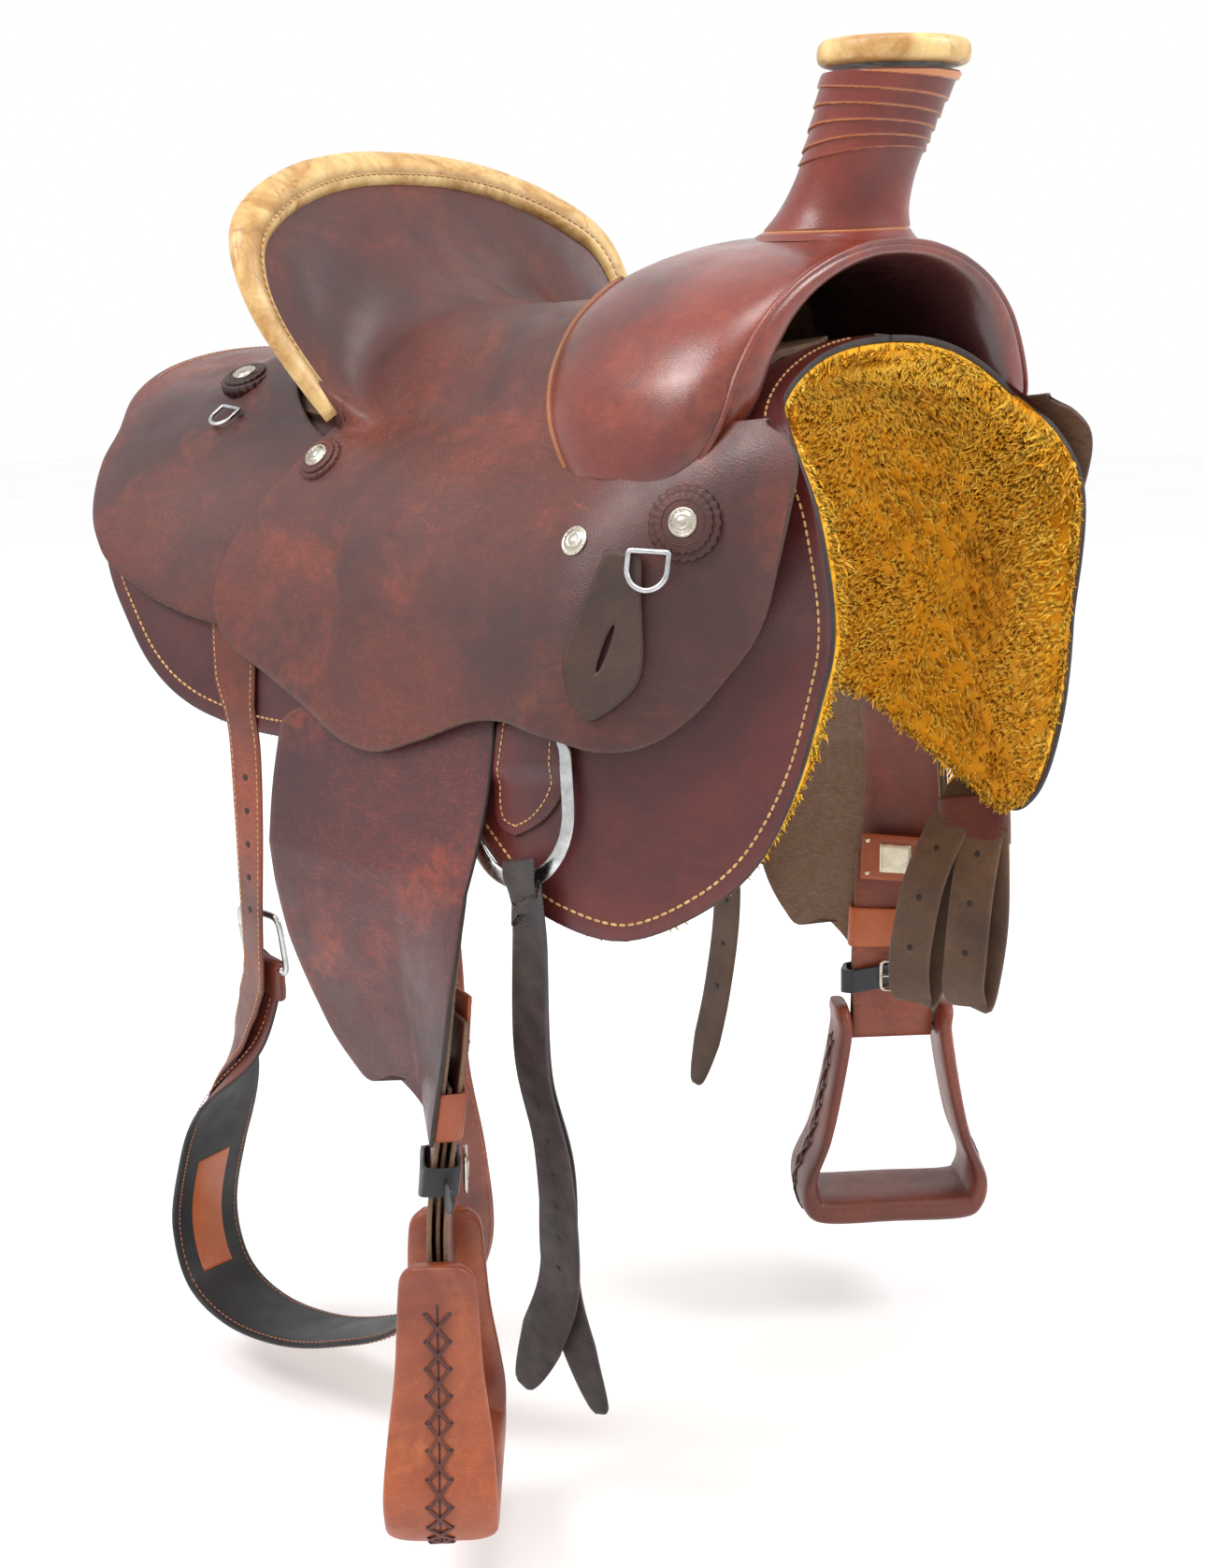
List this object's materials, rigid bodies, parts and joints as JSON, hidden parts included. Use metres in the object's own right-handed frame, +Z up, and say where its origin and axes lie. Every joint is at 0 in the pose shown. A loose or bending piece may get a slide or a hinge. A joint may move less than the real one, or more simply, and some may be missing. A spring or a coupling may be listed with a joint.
{
  "type": "western saddle",
  "caption": "Western stock saddle: leather seat, horned fork and cantle on a wooden tree, fleece-lined skirts, straps, hinged fenders and hanging stirrups.",
  "frame": {"origin": "top line of the horse's back under the middle of the seat", "axes": "+X forward, +Y the horse's left, +Z up"},
  "size_m": [0.7418, 0.7085, 1.0148],
  "materials": {
    "leather_brown": "oiled, semi-gloss",
    "leather_dark": "oiled, satin",
    "leather_tan": "satin",
    "leather_black": "satin",
    "rawhide": "varnished",
    "fleece": "long pile",
    "wood": "sealed",
    "steel": "polished"
  },
  "bodies": {
    "saddle": {"skirt_R": "leather_brown", "skirt_L": "leather_brown", "fleece_R": "fleece", "fleece_L": "fleece", "tree_bar_R": "wood", "tree_bar_L": "wood", "fork_cover": "leather_brown", "tree_fork": "wood", "horn_core": "wood", "horn_wrap": "leather_brown", "horn_cap": "leather_brown", "horn_rim": "rawhide", "seat_leather": "leather_brown", "ground_seat": "leather_dark", "cantle_board": "wood", "cantle_back": "leather_brown", "cantle_binding": "rawhide", "rear_jockey_R": "leather_brown", "rear_jockey_L": "leather_brown", "rosette_front_R": "leather_dark", "rosette_front_L": "leather_dark", "rosette_cantle_R": "leather_dark", "rosette_cantle_L": "leather_dark", "rosette_rear_R": "leather_dark", "rosette_rear_L": "leather_dark", "concho_plain_R": "steel", "concho_plain_L": "steel", "rigging_plate_R": "leather_brown", "rigging_plate_L": "leather_brown", "rigging_dee_R": "steel", "rigging_dee_L": "steel", "cinch_buckle": "steel", "flank_cinch": "leather_black", "rear_billet_R": "leather_tan", "rear_billet_L": "leather_tan"},
    "leg_top_right": {"fender_top_R": "leather_brown"},
    "leg_right": {"fender_R": "leather_brown", "stirrup_leather_R": "leather_tan", "blevins_R": "steel", "hobble_R": "leather_black"},
    "stirrup_right": {"stirrup_R": "leather_tan", "stirrup_bolt_R": "steel"},
    "leg_top_left": {"fender_top_L": "leather_brown"},
    "leg_left": {"fender_L": "leather_brown", "stirrup_leather_L": "leather_tan", "blevins_L": "steel", "hobble_L": "leather_black"},
    "stirrup_left": {"stirrup_L": "leather_tan", "stirrup_bolt_L": "steel"},
    "front_dee_right": {"dee_front_R": "steel"},
    "front_dee_left": {"dee_front_L": "steel"},
    "rear_dee_right": {"dee_rear_R": "steel"},
    "rear_dee_left": {"dee_rear_L": "steel"},
    "keeper_right": {"latigo_keeper_R": "leather_dark"},
    "keeper_left": {"latigo_keeper_L": "leather_dark"},
    "off_billet": {"off_billet_R": "leather_black"},
    "latigo": {"latigo_L": "leather_dark"}
  },
  "joints": [
    {"name": "fender_swing_right", "type": "hinge", "parent": "saddle", "child": "leg_top_right", "pos_m": [0.024, -0.24057, -0.13], "axis": [0, -0.9748, 0.2232], "range_deg": [-8, 16]},
    {"name": "fender_lift_right", "type": "hinge", "parent": "leg_top_right", "child": "leg_right", "pos_m": [0.016, -0.2565, -0.193], "axis": [-1, 0, 0], "range_deg": [0, 60]},
    {"name": "stirrup_tilt_right", "type": "hinge", "parent": "leg_right", "child": "stirrup_right", "pos_m": [0.04825, -0.26976, -0.545], "axis": [0.682, -0.7314, 0], "range_deg": [-50, 6]},
    {"name": "fender_swing_left", "type": "hinge", "parent": "saddle", "child": "leg_top_left", "pos_m": [0.024, 0.24057, -0.13], "axis": [0, -0.9748, -0.2232], "range_deg": [-8, 16]},
    {"name": "fender_lift_left", "type": "hinge", "parent": "leg_top_left", "child": "leg_left", "pos_m": [0.016, 0.2565, -0.193], "axis": [1, 0, 0], "range_deg": [0, 60]},
    {"name": "stirrup_tilt_left", "type": "hinge", "parent": "leg_left", "child": "stirrup_left", "pos_m": [0.04828, 0.27027, -0.512], "axis": [0.683, 0.7304, 0], "range_deg": [-50, 50]},
    {"name": "front_dee_flip_right", "type": "hinge", "parent": "saddle", "child": "front_dee_right", "pos_m": [0.20196, -0.21888, -0.03408], "axis": [-0.9237, -0.382, 0.0297], "range_deg": [0, 90]},
    {"name": "front_dee_flip_left", "type": "hinge", "parent": "saddle", "child": "front_dee_left", "pos_m": [0.20196, 0.21888, -0.03408], "axis": [0.9237, -0.382, -0.0297], "range_deg": [0, 90]},
    {"name": "rear_dee_flip_right", "type": "hinge", "parent": "saddle", "child": "rear_dee_right", "pos_m": [-0.2886, -0.15463, 0.03541], "axis": [-0.9953, -0.0025, 0.0972], "range_deg": [0, 90]},
    {"name": "rear_dee_flip_left", "type": "hinge", "parent": "saddle", "child": "rear_dee_left", "pos_m": [-0.2886, 0.15463, 0.03541], "axis": [0.9953, -0.0025, -0.0972], "range_deg": [0, 90]},
    {"name": "keeper_swing_right", "type": "hinge", "parent": "saddle", "child": "keeper_right", "pos_m": [0.21259, -0.19643, -0.01831], "axis": [0.4375, -0.8735, 0.2134], "range_deg": [-8, 8]},
    {"name": "keeper_swing_left", "type": "hinge", "parent": "saddle", "child": "keeper_left", "pos_m": [0.21259, 0.19643, -0.01831], "axis": [0.4375, 0.8735, 0.2134], "range_deg": [-8, 8]},
    {"name": "off_billet_swing", "type": "hinge", "parent": "saddle", "child": "off_billet", "pos_m": [0.11591, -0.25174, -0.20651], "axis": [-0.036, -0.9867, 0.1585], "range_deg": [0, 15]},
    {"name": "latigo_swing", "type": "hinge", "parent": "saddle", "child": "latigo", "pos_m": [0.11591, 0.25174, -0.20651], "axis": [-0.036, 0.9867, 0.1585], "range_deg": [-4, 8]}
  ]
}
